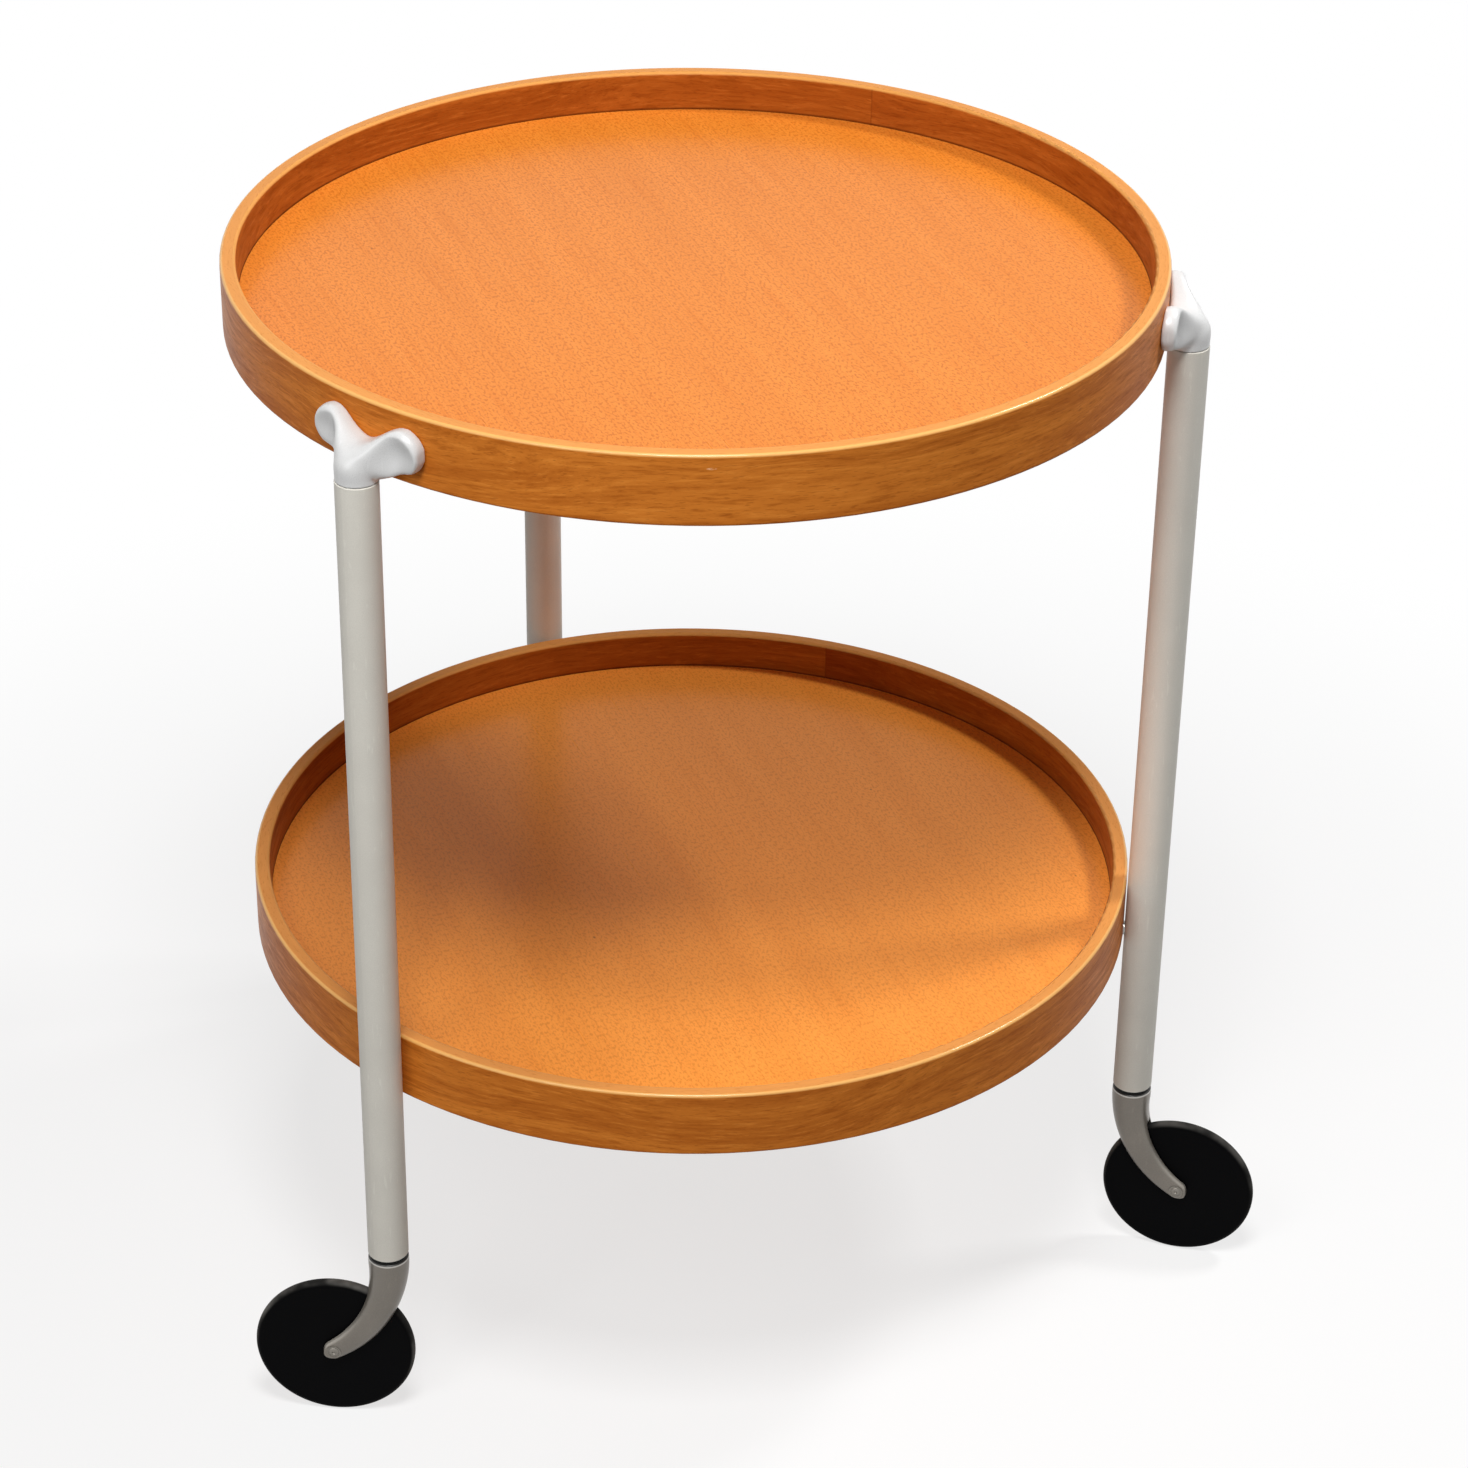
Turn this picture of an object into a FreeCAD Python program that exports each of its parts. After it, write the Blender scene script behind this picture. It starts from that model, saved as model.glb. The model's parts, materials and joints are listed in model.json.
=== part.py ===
import FreeCAD
import Part
import math
import os

# Two-tier round trolley: two bentwood trays between three upright tubes, each on a swivel caster.
# Millimetres. The origin is on the floor under the trays' common axis, +Z is up and the rear leg is on +Y.

# Trays
TRAY_DIAMETER = 560.0
TRAY_PITCH = 418.0
LOWER_TRAY_RISE = 113.0
RIM_THICKNESS = 9.5
RIM_EDGE_RADIUS = 2.0
FLOOR_DEPTH = 25.5
FLOOR_THICKNESS = 4.0
FLOOR_SHOULDER = 1.0
FLOOR_GROOVE_DEPTH = 4.0

# Legs
LEG_ANGLES = {"left": 210.0, "right": 330.0, "rear": 90.0}
TUBE_DIAMETER = 25.0
TUBE_WALL = 1.5
TUBE_EDGE_CHAMFER = 0.4

# Brackets: a round root on the tube, and a wing of two lobes that hugs the upper rim
SEAM_ABOVE_RIM_FOOT = 0.5
ROOT_RISE = 10.0
ROOT_DOME_HEIGHT = 12.0
ROOT_DOME_LEAN = 10.0
SADDLE_TOP_DROP = 20.0
SADDLE_THICKNESS = 24.5
SADDLE_WAIST = 6.0
LOBE_OFFSET = 25.5
LOBE_HEIGHT = 26.5
LOBE_TOP_DROP = 8.5
LOBE_THICKNESS = 10.5
LOBE_EDGE_THICKNESS = 8.0
LOBE_WAIST = 3.0
LOBE_SQUARENESS = 3.2
SPIGOT_LENGTH = 30.0

# Tray bolts, in the recess under each floor
BOLT_DIAMETER = 5.0
BOLT_HEAD_DIAMETER = 9.5
BOLT_HEAD_HEIGHT = 2.8
BOLT_SOCKET_DIAMETER = 3.5
BOLT_SOCKET_DEPTH = 1.6
BOLT_THREAD_DEPTH = 10.0
WASHER_DIAMETER = 10.0
WASHER_THICKNESS = 1.0
NUT_WALL = 1.0
NUT_FLANGE_LIP = 1.0
NUT_FLANGE_THICKNESS = 0.6
NUT_BULGE_LENGTH = 2.5

# Casters
CASTER_TURNS = {"left": 154.3, "right": 323.0, "rear": 35.0}
CASTER_TRAIL = 35.5
WHEEL_DIAMETER = 100.0
WHEEL_WIDTH = 8.0
TREAD_FLAT = 1.0
SOCKET_LENGTH = 45.0
SOCKET_FLANGE_THICKNESS = 2.2
SOCKET_FLANGE_INSET = 0.5
STEM_DIAMETER = 10.0
STEM_SEAT_DEPTH = 18.0
STEM_END_LENGTH = 5.7
CLIP_LIP = 3.0
CLIP_MOUTH_WIDTH = 6.4
CLIP_THICKNESS = 1.0
CLIP_GROOVE_DEPTH = 1.0
FORK_ABOVE_WHEEL = 23.5
FORK_COLLAR_HEIGHT = 8.5
FORK_COLLAR_CHAMFER = 0.6
FORK_ARM_THICKNESS = 4.0
FORK_END_MARGIN = 2.5
FORK_END_SQUARENESS = 4.0
FORK_SLOT_ABOVE_WHEEL = 3.0
AXLE_DIAMETER = 6.0
AXLE_HEAD_LIP = 1.5
AXLE_HEAD_HEIGHT = 1.4
AXLE_HEAD_RECESS = 0.6
AXLE_DIMPLE_DIAMETER = 3.0
AXLE_DIMPLE_DEPTH = 0.6
BUSH_WALL = 3.0
AXLE_WASHER_LIP = 3.0
AXLE_WASHER_THICKNESS = 0.6

# Clearances
FLOOR_EDGE_CLEARANCE = 0.2
WASHER_ROOM = 1.75
BOLT_HOLE_CLEARANCE = 0.25
THREAD_CLEARANCE = 0.05
SEAT_GAP = 0.05
TURNING_GAP = 0.05
SWIVEL_GAP = 0.3
SIDE_GAP = 0.2

# Sizes that follow, across
TRAY_RADIUS = TRAY_DIAMETER / 2
RIM_INNER_RADIUS = TRAY_RADIUS - RIM_THICKNESS
GROOVE_RADIUS = RIM_INNER_RADIUS + FLOOR_GROOVE_DEPTH
TUBE_RADIUS = TUBE_DIAMETER / 2
TUBE_BORE_RADIUS = TUBE_RADIUS - TUBE_WALL
LEG_RADIUS = TRAY_RADIUS + NUT_FLANGE_THICKNESS + 2 * SEAT_GAP + TUBE_RADIUS
LEG_STAND_OFF = LEG_RADIUS - TRAY_RADIUS
BOLT_HOLE_DIAMETER = BOLT_DIAMETER + 2 * BOLT_HOLE_CLEARANCE
THREAD_DIAMETER = BOLT_DIAMETER + 2 * THREAD_CLEARANCE
BOLT_TIP = TRAY_RADIUS + BOLT_THREAD_DEPTH
WASHER_SEAT = math.sqrt(RIM_INNER_RADIUS ** 2 - (WASHER_DIAMETER / 2) ** 2)
NUT_BODY_DIAMETER = BOLT_DIAMETER + 2 * NUT_WALL
NUT_FLANGE_DIAMETER = NUT_BODY_DIAMETER + 2 * NUT_FLANGE_LIP
NUT_FACE = TRAY_RADIUS + SEAT_GAP
NUT_BULGE_START = LEG_RADIUS - math.sqrt(TUBE_BORE_RADIUS ** 2 - (NUT_FLANGE_DIAMETER / 2) ** 2) + SEAT_GAP
CLIP_GROOVE_DIAMETER = STEM_DIAMETER - 2 * CLIP_GROOVE_DEPTH
CLIP_DIAMETER = STEM_DIAMETER + 2 * CLIP_LIP
TREAD_RADIUS = (WHEEL_WIDTH - TREAD_FLAT) / 2
SLOT_WIDTH = WHEEL_WIDTH + 2 * (AXLE_WASHER_THICKNESS + SIDE_GAP)
FORK_END_WIDTH = SLOT_WIDTH + 2 * FORK_ARM_THICKNESS
AXLE_HEAD_DIAMETER = AXLE_DIAMETER + 2 * AXLE_HEAD_LIP
AXLE_HOLE_DIAMETER = AXLE_DIAMETER + 2 * SEAT_GAP
AXLE_REACH = FORK_END_WIDTH / 2 - AXLE_HEAD_RECESS
FORK_END_DIAMETER = AXLE_HEAD_DIAMETER + 2 * FORK_END_MARGIN
BUSH_DIAMETER = AXLE_DIAMETER + 2 * BUSH_WALL
AXLE_WASHER_DIAMETER = AXLE_DIAMETER + 2 * AXLE_WASHER_LIP

# Sizes that follow, from the ground up
AXLE_HEIGHT = WHEEL_DIAMETER / 2
FORK_TOP_HEIGHT = WHEEL_DIAMETER + FORK_ABOVE_WHEEL
STEM_FOOT_HEIGHT = FORK_TOP_HEIGHT - STEM_SEAT_DEPTH
SOCKET_FOOT_HEIGHT = FORK_TOP_HEIGHT + SWIVEL_GAP
TUBE_FOOT_HEIGHT = SOCKET_FOOT_HEIGHT + SOCKET_FLANGE_THICKNESS
SOCKET_TOP_HEIGHT = TUBE_FOOT_HEIGHT + SOCKET_LENGTH
CLIP_FOOT_HEIGHT = SOCKET_TOP_HEIGHT + SWIVEL_GAP
STEM_TOP_HEIGHT = CLIP_FOOT_HEIGHT + CLIP_THICKNESS + STEM_END_LENGTH
RECESS_HEIGHT = WASHER_DIAMETER + 2 * WASHER_ROOM
RIM_HEIGHT = FLOOR_DEPTH + FLOOR_THICKNESS + RECESS_HEIGHT
LOWER_RIM_FOOT = TUBE_FOOT_HEIGHT + LOWER_TRAY_RISE
RIM_FEET = {"upper": LOWER_RIM_FOOT + TRAY_PITCH, "lower": LOWER_RIM_FOOT}
UPPER_RIM_TOP = RIM_FEET["upper"] + RIM_HEIGHT
TUBE_TOP_HEIGHT = RIM_FEET["upper"] + SEAM_ABOVE_RIM_FOOT
SADDLE_FOOT_DROP = UPPER_RIM_TOP - TUBE_TOP_HEIGHT
LOBE_FOOT_DROP = LOBE_TOP_DROP + LOBE_HEIGHT

# Lofted castings: points round a section, where its outline starts, and where the sections lie
SECTION_POINTS = 24
SECTION_START_TURN = 45.0
ROUND = 2.0
ROOT_DOME_TURNS = (25.0, 48.0, 66.0)
WING_STEPS = 4
LOBE_END_TURNS = (28.0, 52.0, 72.0)
FORK_STEPS = 10
FORK_END_TURNS = (25.0, 48.0, 66.0, 79.0)

X_AXIS = FreeCAD.Vector(1, 0, 0)
Y_AXIS = FreeCAD.Vector(0, 1, 0)
Z_AXIS = FreeCAD.Vector(0, 0, 1)
ORIGIN = FreeCAD.Vector(0, 0, 0)
LEG_PLACE = X_AXIS * LEG_RADIUS


def at(x, y, z):
    return FreeCAD.Vector(x, y, z)


def rod(diameter, start, direction, length):
    """A plain cylinder from a start point along a direction."""
    return Part.makeCylinder(diameter / 2, length, start, direction)


def ring(outer_diameter, inner_diameter, start, direction, length):
    """A washer or sleeve from a start point along a direction."""
    outer = rod(outer_diameter, start, direction, length)
    return outer.cut(rod(inner_diameter, start, direction, length))


def between(first, last, share):
    """The value that share of the way from first to last."""
    return first + share * (last - first)


def eased(share):
    """The same share, with a level start and end."""
    return share * share * (3 - 2 * share)


def rounded_section(centre, across, along, width, height, power):
    """A closed smooth outline: an ellipse at power 2, squarer as the power grows."""
    points = []
    for i in range(SECTION_POINTS):
        turn = math.radians(SECTION_START_TURN + 360 * i / SECTION_POINTS)
        c = math.cos(turn)
        s = math.sin(turn)
        u = math.copysign(abs(c) ** (2 / power), c) * width / 2
        v = math.copysign(abs(s) ** (2 / power), s) * height / 2
        points.append(centre + across * u + along * v)
    curve = Part.BSplineCurve()
    curve.interpolate(Points=points, PeriodicFlag=True)
    return Part.Wire([curve.toShape()])


def line(start, end):
    """A straight edge in the XZ plane between two (x, z) points."""
    return Part.LineSegment(at(start[0], 0, start[1]), at(end[0], 0, end[1])).toShape()


def corner(start, end, centre):
    """A quarter-circle edge in the XZ plane between two (x, z) points."""
    radius = math.dist(start, centre)
    away = at(start[0] + end[0] - 2 * centre[0], 0, start[1] + end[1] - 2 * centre[1]).normalize()
    middle = at(centre[0], 0, centre[1]) + away * radius
    return Part.Arc(at(start[0], 0, start[1]), middle, at(end[0], 0, end[1])).toShape()


def to_leg(shape, leg):
    """Turns a shape made on the +X side round to its leg."""
    copy = shape.copy()
    copy.rotate(ORIGIN, Z_AXIS, LEG_ANGLES[leg])
    return copy


def to_caster(shape, leg):
    """Places a shape made round the Z axis, trailing along +X, under its leg at its rest angle."""
    copy = shape.copy()
    copy.rotate(ORIGIN, Z_AXIS, CASTER_TURNS[leg] - LEG_ANGLES[leg])
    copy.translate(LEG_PLACE)
    return to_leg(copy, leg)


def at_each_leg(shape):
    """One copy at each leg, as a group of separate solids."""
    return Part.Compound([to_leg(shape, leg) for leg in LEG_ANGLES])


def save(shape, node):
    shape.exportStep("parts/" + node + ".step")


# Trays
def bolt_height(tier):
    """The middle of the recess under the tray's floor."""
    return RIM_FEET[tier] + RECESS_HEIGHT / 2


def floor_disc(tier, radius, shoulder):
    """A flat disc at the floor's place, set in by a shoulder from each of the floor's faces."""
    foot = at(0, 0, RIM_FEET[tier] + RECESS_HEIGHT + shoulder)
    return Part.makeCylinder(radius, FLOOR_THICKNESS - 2 * shoulder, foot)


def tray_hoop(tier):
    """The bent rim with rounded edges, a groove for the floor and a hole for each bolt."""
    low = RIM_FEET[tier]
    high = low + RIM_HEIGHT
    inner = RIM_INNER_RADIUS
    outer = TRAY_RADIUS
    r = RIM_EDGE_RADIUS
    edges = [
        line((inner + r, low), (outer - r, low)),
        corner((outer - r, low), (outer, low + r), (outer - r, low + r)),
        line((outer, low + r), (outer, high - r)),
        corner((outer, high - r), (outer - r, high), (outer - r, high - r)),
        line((outer - r, high), (inner + r, high)),
        corner((inner + r, high), (inner, high - r), (inner + r, high - r)),
        line((inner, high - r), (inner, low + r)),
        corner((inner, low + r), (inner + r, low), (inner + r, low + r)),
    ]
    hoop = Part.Face(Part.Wire(edges)).revolve(ORIGIN, Z_AXIS, 360)
    hoop = hoop.cut(floor_disc(tier, GROOVE_RADIUS, FLOOR_SHOULDER))
    hole_start = at(RIM_INNER_RADIUS - RIM_THICKNESS, 0, bolt_height(tier))
    hole = rod(BOLT_HOLE_DIAMETER, hole_start, X_AXIS, 3 * RIM_THICKNESS)
    for leg in LEG_ANGLES:
        hoop = hoop.cut(to_leg(hole, leg))
    return hoop


def tray_floor(tier):
    """The flat panel, with a tongue round its edge that sits in the hoop's groove."""
    panel = floor_disc(tier, RIM_INNER_RADIUS - FLOOR_EDGE_CLEARANCE, 0)
    tongue = floor_disc(tier, GROOVE_RADIUS - FLOOR_EDGE_CLEARANCE, FLOOR_SHOULDER)
    return panel.fuse(tongue).removeSplitter()


# Tray fasteners, made on the +X side
def tray_bolt(tier):
    """Button-headed bolt along +X, its head on the washer inside the hoop."""
    under_head = at(WASHER_SEAT - WASHER_THICKNESS, 0, bolt_height(tier))
    head = rod(BOLT_HEAD_DIAMETER, under_head, -X_AXIS, BOLT_HEAD_HEIGHT)
    shank = rod(BOLT_DIAMETER, under_head, X_AXIS, BOLT_TIP - under_head.x)
    key = rod(BOLT_SOCKET_DIAMETER, under_head - X_AXIS * BOLT_HEAD_HEIGHT, X_AXIS, BOLT_SOCKET_DEPTH)
    return head.fuse(shank).cut(key).removeSplitter()


def tray_washer(tier):
    seat = at(WASHER_SEAT, 0, bolt_height(tier))
    return ring(WASHER_DIAMETER, BOLT_HOLE_DIAMETER, seat, -X_AXIS, WASHER_THICKNESS)


def rivet_nut():
    """Threaded sleeve set in the tube's wall: a flange outside, a swelling inside."""
    z = bolt_height("lower")
    face = at(NUT_FACE, 0, z)
    length = BOLT_TIP - NUT_FACE
    flange = rod(NUT_FLANGE_DIAMETER, face, X_AXIS, NUT_FLANGE_THICKNESS)
    sleeve = rod(NUT_BODY_DIAMETER, face, X_AXIS, length)
    swelling = rod(NUT_FLANGE_DIAMETER, at(NUT_BULGE_START, 0, z), X_AXIS, NUT_BULGE_LENGTH)
    thread = rod(THREAD_DIAMETER, face, X_AXIS, length)
    return flange.fuse([sleeve, swelling]).cut(thread).removeSplitter()


# Legs, made on the +X side
def leg_tube():
    """Straight tube with a chamfer round each end and the hole for its rivet nut."""
    foot = at(LEG_RADIUS, 0, TUBE_FOOT_HEIGHT)
    length = TUBE_TOP_HEIGHT - TUBE_FOOT_HEIGHT
    bar = rod(TUBE_DIAMETER, foot, Z_AXIS, length)
    ends = [edge for edge in bar.Edges if edge.isClosed()]
    bore = rod(2 * TUBE_BORE_RADIUS, foot, Z_AXIS, length)
    tube = bar.makeChamfer(TUBE_EDGE_CHAMFER, ends).cut(bore)
    hole_start = at(TRAY_RADIUS, 0, bolt_height("lower"))
    return tube.cut(rod(NUT_BODY_DIAMETER + 2 * SEAT_GAP, hole_start, X_AXIS, LEG_STAND_OFF))


def wing_section(y, top_drop, foot_drop, waist, thickness, power):
    """An upright section of the wing: y along the rim, and a thickness outside the rim's face."""
    rim_face = math.sqrt(TRAY_RADIUS ** 2 - y ** 2)
    centre = at(rim_face + waist, y, UPPER_RIM_TOP - (top_drop + foot_drop) / 2)
    return rounded_section(centre, X_AXIS, Z_AXIS, 2 * (thickness - waist), foot_drop - top_drop, power)


def bracket_wing():
    """The two lobes and the saddle between them, as one form drawn along the rim."""
    half = []
    for step in range(WING_STEPS + 1):
        share = step / WING_STEPS
        ease = eased(share)
        half.append((
            share * LOBE_OFFSET,
            between(SADDLE_TOP_DROP, LOBE_TOP_DROP, ease),
            between(SADDLE_FOOT_DROP, LOBE_FOOT_DROP, share ** 2),
            between(SADDLE_WAIST, LOBE_WAIST, ease),
            between(SADDLE_THICKNESS, LOBE_THICKNESS, ease),
            between(ROUND, LOBE_SQUARENESS, ease),
        ))
    for degrees in LOBE_END_TURNS:
        turn = math.radians(degrees)
        inset = LOBE_HEIGHT / 2 * (1 - math.cos(turn))
        half.append((
            LOBE_OFFSET + LOBE_HEIGHT / 2 * math.sin(turn),
            LOBE_TOP_DROP + inset,
            LOBE_FOOT_DROP - inset,
            LOBE_WAIST,
            between(LOBE_EDGE_THICKNESS, LOBE_THICKNESS, math.cos(turn)),
            LOBE_SQUARENESS,
        ))
    stations = [(-y, *form) for y, *form in reversed(half[1:])] + half
    return Part.makeLoft([wing_section(*station) for station in stations], True, False)


def bracket_root():
    """The round root that carries on from the tube, with a dome that leans in under the saddle."""
    seam = at(LEG_RADIUS, 0, TUBE_TOP_HEIGHT)
    wires = [rounded_section(seam, X_AXIS, Y_AXIS, TUBE_DIAMETER, TUBE_DIAMETER, ROUND)]
    for degrees in (0.0, *ROOT_DOME_TURNS):
        turn = math.radians(degrees)
        size = TUBE_DIAMETER * math.cos(turn)
        lean = ROOT_DOME_LEAN * (1 - math.cos(turn))
        centre = seam + at(-lean, 0, ROOT_RISE + ROOT_DOME_HEIGHT * math.sin(turn))
        wires.append(rounded_section(centre, X_AXIS, Y_AXIS, size, size, ROUND))
    return Part.makeLoft(wires, True, False)


def bracket():
    """Cast two-lobed top: root, wing, a spigot in the tube and the thread for the tray bolt."""
    spigot_size = 2 * (TUBE_BORE_RADIUS - SEAT_GAP)
    spigot = rod(spigot_size, at(LEG_RADIUS, 0, TUBE_TOP_HEIGHT), -Z_AXIS, SPIGOT_LENGTH)
    shape = bracket_root().fuse(bracket_wing()).fuse(spigot)
    seat_foot = at(0, 0, UPPER_RIM_TOP - 2 * RIM_HEIGHT)
    rim_seat = Part.makeCylinder(TRAY_RADIUS + SEAT_GAP, 2 * RIM_HEIGHT, seat_foot)
    thread_start = at(TRAY_RADIUS, 0, bolt_height("upper"))
    thread = rod(THREAD_DIAMETER, thread_start, X_AXIS, BOLT_THREAD_DEPTH + SEAT_GAP)
    return shape.cut(rim_seat).cut(thread)


# Casters, made round the Z axis and trailing along +X
AXLE_CENTRE = at(CASTER_TRAIL, 0, AXLE_HEIGHT)


def caster_socket():
    """Plastic sleeve in the tube's end, with a flange that covers the cut edge."""
    foot = at(0, 0, SOCKET_FOOT_HEIGHT)
    length = SOCKET_TOP_HEIGHT - SOCKET_FOOT_HEIGHT
    sleeve = rod(2 * (TUBE_BORE_RADIUS - SEAT_GAP), foot, Z_AXIS, length)
    flange = rod(TUBE_DIAMETER - 2 * SOCKET_FLANGE_INSET, foot, Z_AXIS, SOCKET_FLANGE_THICKNESS)
    bore = rod(STEM_DIAMETER + 2 * TURNING_GAP, foot, Z_AXIS, length)
    return sleeve.fuse(flange).cut(bore).removeSplitter()


def caster_stem():
    """Swivel stem, pressed into the fork, with a groove for its clip."""
    stem = rod(STEM_DIAMETER, at(0, 0, STEM_FOOT_HEIGHT), Z_AXIS, STEM_TOP_HEIGHT - STEM_FOOT_HEIGHT)
    groove = ring(2 * STEM_DIAMETER, CLIP_GROOVE_DIAMETER, at(0, 0, CLIP_FOOT_HEIGHT), Z_AXIS, CLIP_THICKNESS)
    return stem.cut(groove)


def stem_clip():
    """Open clip in the stem's groove, just above the socket."""
    foot = at(0, 0, CLIP_FOOT_HEIGHT)
    clip = ring(CLIP_DIAMETER, CLIP_GROOVE_DIAMETER + 2 * SEAT_GAP, foot, Z_AXIS, CLIP_THICKNESS)
    mouth_corner = foot - Y_AXIS * (CLIP_MOUTH_WIDTH / 2)
    return clip.cut(Part.makeBox(CLIP_DIAMETER, CLIP_MOUTH_WIDTH, CLIP_THICKNESS, mouth_corner))


def fork_line(share):
    """A point on the fork's bent centreline, the way across it and the way along, from collar 0 to axle 1."""
    bend_top = FORK_TOP_HEIGHT - FORK_COLLAR_HEIGHT
    drop = bend_top - AXLE_HEIGHT
    bend_radius = (CASTER_TRAIL ** 2 + drop ** 2) / (2 * CASTER_TRAIL)
    turn = share * math.atan2(drop, bend_radius - CASTER_TRAIL)
    point = at(bend_radius * (1 - math.cos(turn)), 0, bend_top - bend_radius * math.sin(turn))
    across = at(math.cos(turn), 0, math.sin(turn))
    along = at(math.sin(turn), 0, -math.cos(turn))
    return point, across, along


def fork_casting():
    """The solid form of the fork: chamfered collar, bent tapering arm and round end."""
    top = at(0, 0, FORK_TOP_HEIGHT)
    lip_size = TUBE_DIAMETER - 2 * FORK_COLLAR_CHAMFER
    lip = rounded_section(top, X_AXIS, Y_AXIS, lip_size, lip_size, ROUND)
    neck_centre = top - Z_AXIS * FORK_COLLAR_CHAMFER
    neck = rounded_section(neck_centre, X_AXIS, Y_AXIS, TUBE_DIAMETER, TUBE_DIAMETER, ROUND)
    sections = [neck]
    for step in range(FORK_STEPS + 1):
        share = step / FORK_STEPS
        point, across, along = fork_line(share)
        depth = between(TUBE_DIAMETER, FORK_END_DIAMETER, share)
        width = between(TUBE_DIAMETER, FORK_END_WIDTH, share)
        power = between(ROUND, FORK_END_SQUARENESS, share)
        sections.append(rounded_section(point, across, Y_AXIS, depth, width, power))
    for degrees in FORK_END_TURNS:
        turn = math.radians(degrees)
        centre = AXLE_CENTRE + along * (math.sin(turn) * FORK_END_DIAMETER / 2)
        depth = math.cos(turn) * FORK_END_DIAMETER
        sections.append(rounded_section(centre, across, Y_AXIS, depth, FORK_END_WIDTH, FORK_END_SQUARENESS))
    collar = Part.makeLoft([lip, neck], True, True)
    return collar.fuse(Part.makeLoft(sections, True, False))


def caster_fork():
    """The casting, slotted for the wheel and bored for the stem, the axle and its heads."""
    slot_size = WHEEL_DIAMETER + 2 * FORK_SLOT_ABOVE_WHEEL
    cuts = [
        rod(slot_size, AXLE_CENTRE - Y_AXIS * (SLOT_WIDTH / 2), Y_AXIS, SLOT_WIDTH),
        rod(STEM_DIAMETER + 2 * SEAT_GAP, at(0, 0, FORK_TOP_HEIGHT), -Z_AXIS, STEM_SEAT_DEPTH),
        rod(AXLE_HOLE_DIAMETER, AXLE_CENTRE - Y_AXIS * FORK_END_WIDTH, Y_AXIS, 2 * FORK_END_WIDTH),
    ]
    for side in (-1, 1):
        seat = AXLE_CENTRE + Y_AXIS * (side * AXLE_REACH)
        cuts.append(rod(AXLE_HEAD_DIAMETER + 2 * SEAT_GAP, seat, Y_AXIS * side, FORK_END_WIDTH))
    fork = fork_casting()
    for cut in cuts:
        fork = fork.cut(cut)
    return fork


def axle():
    """Riveted pin across the fork, with a dimpled head on each side."""
    pin = rod(AXLE_DIAMETER, AXLE_CENTRE - Y_AXIS * AXLE_REACH, Y_AXIS, 2 * AXLE_REACH)
    for side in (-1, 1):
        seat = AXLE_CENTRE + Y_AXIS * (side * AXLE_REACH)
        face = seat + Y_AXIS * (side * AXLE_HEAD_HEIGHT)
        pin = pin.fuse(rod(AXLE_HEAD_DIAMETER, seat, Y_AXIS * side, AXLE_HEAD_HEIGHT))
        pin = pin.cut(rod(AXLE_DIMPLE_DIAMETER, face, Y_AXIS * -side, AXLE_DIMPLE_DEPTH))
    return pin.removeSplitter()


def wheel():
    """Thin plain disc with a round tread, bored for its bush."""
    half = WHEEL_WIDTH / 2
    bore = BUSH_DIAMETER / 2 + SEAT_GAP
    rim = WHEEL_DIAMETER / 2
    shoulder = rim - TREAD_RADIUS
    flat = TREAD_FLAT / 2
    edges = [
        line((bore, -half), (shoulder, -half)),
        corner((shoulder, -half), (rim, -flat), (shoulder, -flat)),
        line((rim, -flat), (rim, flat)),
        corner((rim, flat), (shoulder, half), (shoulder, flat)),
        line((shoulder, half), (bore, half)),
        line((bore, half), (bore, -half)),
    ]
    disc = Part.Face(Part.Wire(edges)).revolve(ORIGIN, Z_AXIS, 360)
    disc.rotate(ORIGIN, X_AXIS, 90)
    disc.translate(AXLE_CENTRE)
    return disc


def wheel_bush():
    """Plain bearing pressed into the wheel."""
    start = AXLE_CENTRE - Y_AXIS * (WHEEL_WIDTH / 2)
    return ring(BUSH_DIAMETER, AXLE_DIAMETER + 2 * TURNING_GAP, start, Y_AXIS, WHEEL_WIDTH)


def axle_washers():
    """A washer against each arm of the fork."""
    washers = []
    for side in (-1, 1):
        start = AXLE_CENTRE + Y_AXIS * (side * SLOT_WIDTH / 2)
        inward = Y_AXIS * -side
        washers.append(ring(AXLE_WASHER_DIAMETER, AXLE_HOLE_DIAMETER, start, inward, AXLE_WASHER_THICKNESS))
    return Part.Compound(washers)


os.makedirs("parts", exist_ok=True)

for tier in RIM_FEET:
    save(tray_hoop(tier), tier + "_tray_hoop")
    save(tray_floor(tier), tier + "_tray_floor")
    save(at_each_leg(tray_bolt(tier)), tier + "_tray_bolts")
    save(at_each_leg(tray_washer(tier)), tier + "_tray_washers")
save(at_each_leg(rivet_nut()), "lower_tray_rivet_nuts")

LEG_PIECES = {"leg_tube": leg_tube(), "bracket": bracket()}
CASTER_PIECES = {
    "socket": caster_socket(),
    "stem": caster_stem(),
    "stem_clip": stem_clip(),
    "fork": caster_fork(),
    "axle": axle(),
    "wheel": wheel(),
    "wheel_bush": wheel_bush(),
    "axle_washers": axle_washers(),
}
for leg in LEG_ANGLES:
    for piece, shape in LEG_PIECES.items():
        save(to_leg(shape, leg), leg + "_" + piece)
    for piece, shape in CASTER_PIECES.items():
        save(to_caster(shape, leg), leg + "_" + piece)
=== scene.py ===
import json
import math

import bpy
from mathutils import Matrix, Vector


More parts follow.
